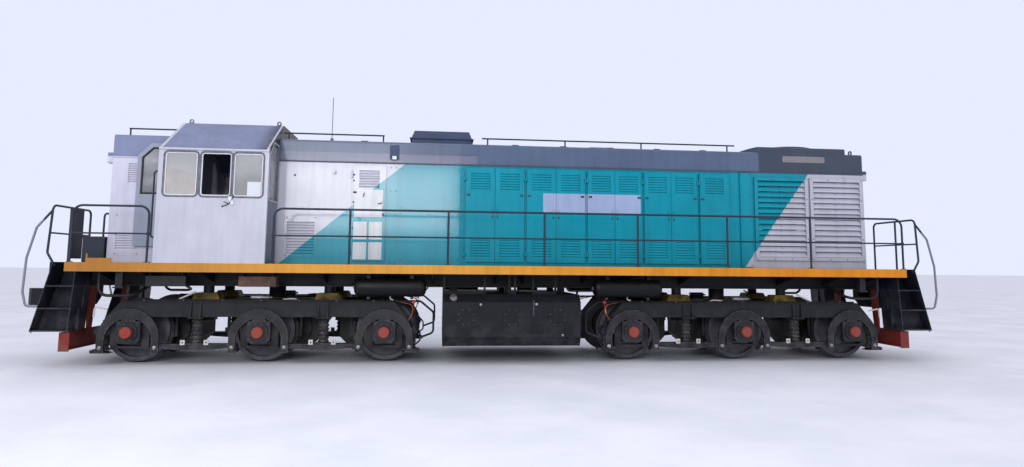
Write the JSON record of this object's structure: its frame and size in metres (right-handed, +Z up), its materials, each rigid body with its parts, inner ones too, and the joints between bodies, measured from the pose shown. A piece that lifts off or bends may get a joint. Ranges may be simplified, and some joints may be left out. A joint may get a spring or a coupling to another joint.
{
  "type": "diesel shunting locomotive",
  "caption": "Six-axle hood-type diesel shunting locomotive with a raised cab, side walkways, hinged engine-room doors and two three-axle swivelling bogies.",
  "frame": {"origin": "middle of the length and width at the foot of the wheel flanges, 28 mm below the rail top", "axes": "+X along the rails towards the radiator end, +Z up, +Y to the left of a driver facing +X; the pictured side is -Y"},
  "size_m": [17.2, 3.156, 4.8779],
  "materials": {
    "bogie_black": "matt black paint with dust",
    "cab_lining": "matt pale green-grey lining paint",
    "cast_black": "rough dark castings",
    "engine_grey": "oily grey paint",
    "fan_metal": "dull cast aluminium",
    "frame_black": "matt black paint",
    "glass": "clear window glass",
    "guard_red": "red-brown primer paint",
    "rail_dark": "gloss dark paint",
    "roof_grey": "satin blue-grey paint",
    "sill_yellow": "satin yellow-orange paint",
    "silver_paint": "semi-gloss silver paint",
    "teal_paint": "gloss teal paint",
    "wheel_steel": "bare steel treads, dusty brown faces"
  },
  "bodies": {
    "locomotive": {"air_reservoirs": "frame_black", "buffer_beams": "frame_black", "cab_interior": "cab_lining", "cab_roof": "roof_grey", "cab_shell": "silver_paint", "cab_windows": "glass", "couplers": "cast_black", "end_steps": "frame_black", "engine_block": "engine_grey", "engine_hood": "teal_paint", "equipment_hood": "silver_paint", "fan_gearbox": "engine_grey", "fuel_tank": "frame_black", "handrails": "rail_dark", "radiator_hood": "silver_paint", "radiator_shutters": "silver_paint", "rail_guards": "guard_red", "roof_ventilator": "roof_grey", "short_hood": "silver_paint", "side_sills": "sill_yellow", "underframe": "frame_black"},
    "bogie_rear": {"axleboxes_rear": "cast_black", "bogie_frame_rear": "bogie_black", "brake_gear_rear": "bogie_black", "spring_gear_rear": "bogie_black", "traction_motors_rear": "cast_black"},
    "bogie_front": {"axleboxes_front": "cast_black", "bogie_frame_front": "bogie_black", "brake_gear_front": "bogie_black", "spring_gear_front": "bogie_black", "traction_motors_front": "cast_black"},
    "wheelset_rear_1": {"wheelset_rear_1": "wheel_steel"},
    "wheelset_rear_2": {"wheelset_rear_2": "wheel_steel"},
    "wheelset_rear_3": {"wheelset_rear_3": "wheel_steel"},
    "wheelset_front_1": {"wheelset_front_1": "wheel_steel"},
    "wheelset_front_2": {"wheelset_front_2": "wheel_steel"},
    "wheelset_front_3": {"wheelset_front_3": "wheel_steel"},
    "cooling_fan": {"cooling_fan": "fan_metal"},
    "engine_door_1_left": {"engine_door_1_left": "teal_paint"},
    "engine_door_1_right": {"engine_door_1_right": "teal_paint"},
    "engine_door_2_left": {"engine_door_2_left": "teal_paint"},
    "engine_door_2_right": {"engine_door_2_right": "teal_paint"},
    "engine_door_3_left": {"engine_door_3_left": "teal_paint"},
    "engine_door_3_right": {"engine_door_3_right": "teal_paint"},
    "engine_door_4_left": {"engine_door_4_left": "teal_paint"},
    "engine_door_4_right": {"engine_door_4_right": "teal_paint"},
    "engine_door_5_left": {"engine_door_5_left": "teal_paint"},
    "engine_door_5_right": {"engine_door_5_right": "teal_paint"},
    "engine_door_6_left": {"engine_door_6_left": "teal_paint"},
    "engine_door_6_right": {"engine_door_6_right": "teal_paint"},
    "engine_door_7_left": {"engine_door_7_left": "teal_paint"},
    "engine_door_7_right": {"engine_door_7_right": "teal_paint"},
    "engine_door_8_left": {"engine_door_8_left": "teal_paint"},
    "engine_door_8_right": {"engine_door_8_right": "teal_paint"},
    "fan_room_door_left": {"fan_room_door_left": "teal_paint"},
    "fan_room_door_right": {"fan_room_door_right": "teal_paint"},
    "switchgear_door_left": {"switchgear_door_left": "silver_paint"},
    "switchgear_door_right": {"switchgear_door_right": "silver_paint"},
    "cab_door_front": {"cab_door_front": "silver_paint"},
    "cab_door_back": {"cab_door_back": "silver_paint"}
  },
  "joints": [
    {"name": "bogie_rear_swivel", "type": "hinge", "parent": "locomotive", "child": "bogie_rear", "pos_m": [-4.3, 0, 1], "axis": [0, 0, 1], "range_deg": [-3.5, 3.5]},
    {"name": "bogie_front_swivel", "type": "hinge", "parent": "locomotive", "child": "bogie_front", "pos_m": [4.3, 0, 1], "axis": [0, 0, 1], "range_deg": [-3.5, 3.5]},
    {"name": "wheelset_rear_1_turn", "type": "hinge", "parent": "bogie_rear", "child": "wheelset_rear_1", "pos_m": [-6.4, 0, 0.553], "axis": [0, 1, 0], "continuous": true},
    {"name": "wheelset_rear_2_turn", "type": "hinge", "parent": "bogie_rear", "child": "wheelset_rear_2", "pos_m": [-4.3, 0, 0.553], "axis": [0, 1, 0], "continuous": true},
    {"name": "wheelset_rear_3_turn", "type": "hinge", "parent": "bogie_rear", "child": "wheelset_rear_3", "pos_m": [-2.2, 0, 0.553], "axis": [0, 1, 0], "continuous": true},
    {"name": "wheelset_front_1_turn", "type": "hinge", "parent": "bogie_front", "child": "wheelset_front_1", "pos_m": [2.2, 0, 0.553], "axis": [0, 1, 0], "continuous": true},
    {"name": "wheelset_front_2_turn", "type": "hinge", "parent": "bogie_front", "child": "wheelset_front_2", "pos_m": [4.3, 0, 0.553], "axis": [0, 1, 0], "continuous": true},
    {"name": "wheelset_front_3_turn", "type": "hinge", "parent": "bogie_front", "child": "wheelset_front_3", "pos_m": [6.4, 0, 0.553], "axis": [0, 1, 0], "continuous": true},
    {"name": "cooling_fan_spin", "type": "hinge", "parent": "locomotive", "child": "cooling_fan", "pos_m": [5.75, 0, 3.8], "axis": [0, 0, 1], "continuous": true},
    {"name": "engine_door_1_left_swing", "type": "hinge", "parent": "locomotive", "child": "engine_door_1_left", "pos_m": [-0.82, 0.901, 2.5], "axis": [0, 0, 1], "range_deg": [0, 90]},
    {"name": "engine_door_1_right_swing", "type": "hinge", "parent": "locomotive", "child": "engine_door_1_right", "pos_m": [-0.82, -0.901, 2.5], "axis": [0, 0, -1], "range_deg": [0, 90]},
    {"name": "engine_door_2_left_swing", "type": "hinge", "parent": "locomotive", "child": "engine_door_2_left", "pos_m": [0.27, 0.901, 2.5], "axis": [0, 0, -1], "range_deg": [0, 90]},
    {"name": "engine_door_2_right_swing", "type": "hinge", "parent": "locomotive", "child": "engine_door_2_right", "pos_m": [0.27, -0.901, 2.5], "axis": [0, 0, 1], "range_deg": [0, 90]},
    {"name": "engine_door_3_left_swing", "type": "hinge", "parent": "locomotive", "child": "engine_door_3_left", "pos_m": [0.31, 0.901, 2.5], "axis": [0, 0, 1], "range_deg": [0, 90]},
    {"name": "engine_door_3_right_swing", "type": "hinge", "parent": "locomotive", "child": "engine_door_3_right", "pos_m": [0.31, -0.901, 2.5], "axis": [0, 0, -1], "range_deg": [0, 90]},
    {"name": "engine_door_4_left_swing", "type": "hinge", "parent": "locomotive", "child": "engine_door_4_left", "pos_m": [1.42, 0.901, 2.5], "axis": [0, 0, -1], "range_deg": [0, 90]},
    {"name": "engine_door_4_right_swing", "type": "hinge", "parent": "locomotive", "child": "engine_door_4_right", "pos_m": [1.42, -0.901, 2.5], "axis": [0, 0, 1], "range_deg": [0, 90]},
    {"name": "engine_door_5_left_swing", "type": "hinge", "parent": "locomotive", "child": "engine_door_5_left", "pos_m": [1.46, 0.901, 2.5], "axis": [0, 0, 1], "range_deg": [0, 90]},
    {"name": "engine_door_5_right_swing", "type": "hinge", "parent": "locomotive", "child": "engine_door_5_right", "pos_m": [1.46, -0.901, 2.5], "axis": [0, 0, -1], "range_deg": [0, 90]},
    {"name": "engine_door_6_left_swing", "type": "hinge", "parent": "locomotive", "child": "engine_door_6_left", "pos_m": [2.51, 0.901, 2.5], "axis": [0, 0, -1], "range_deg": [0, 90]},
    {"name": "engine_door_6_right_swing", "type": "hinge", "parent": "locomotive", "child": "engine_door_6_right", "pos_m": [2.51, -0.901, 2.5], "axis": [0, 0, 1], "range_deg": [0, 90]},
    {"name": "engine_door_7_left_swing", "type": "hinge", "parent": "locomotive", "child": "engine_door_7_left", "pos_m": [2.55, 0.901, 2.5], "axis": [0, 0, 1], "range_deg": [0, 90]},
    {"name": "engine_door_7_right_swing", "type": "hinge", "parent": "locomotive", "child": "engine_door_7_right", "pos_m": [2.55, -0.901, 2.5], "axis": [0, 0, -1], "range_deg": [0, 90]},
    {"name": "engine_door_8_left_swing", "type": "hinge", "parent": "locomotive", "child": "engine_door_8_left", "pos_m": [3.6, 0.901, 2.5], "axis": [0, 0, -1], "range_deg": [0, 90]},
    {"name": "engine_door_8_right_swing", "type": "hinge", "parent": "locomotive", "child": "engine_door_8_right", "pos_m": [3.6, -0.901, 2.5], "axis": [0, 0, 1], "range_deg": [0, 90]},
    {"name": "fan_room_door_left_swing", "type": "hinge", "parent": "locomotive", "child": "fan_room_door_left", "pos_m": [3.64, 0.901, 2.5], "axis": [0, 0, 1], "range_deg": [0, 90]},
    {"name": "fan_room_door_right_swing", "type": "hinge", "parent": "locomotive", "child": "fan_room_door_right", "pos_m": [3.64, -0.901, 2.5], "axis": [0, 0, -1], "range_deg": [0, 90]},
    {"name": "switchgear_door_left_swing", "type": "hinge", "parent": "locomotive", "child": "switchgear_door_left", "pos_m": [-2.87, 0.901, 2.5], "axis": [0, 0, 1], "range_deg": [0, 90]},
    {"name": "switchgear_door_right_swing", "type": "hinge", "parent": "locomotive", "child": "switchgear_door_right", "pos_m": [-2.87, -0.901, 2.5], "axis": [0, 0, -1], "range_deg": [0, 90]},
    {"name": "cab_door_front_swing", "type": "hinge", "parent": "locomotive", "child": "cab_door_front", "pos_m": [-4.139, 0.9, 2.5], "axis": [0, 0, -1], "range_deg": [0, 90]},
    {"name": "cab_door_back_swing", "type": "hinge", "parent": "locomotive", "child": "cab_door_back", "pos_m": [-6.001, -0.9, 2.5], "axis": [0, 0, -1], "range_deg": [-90, 0]}
  ]
}
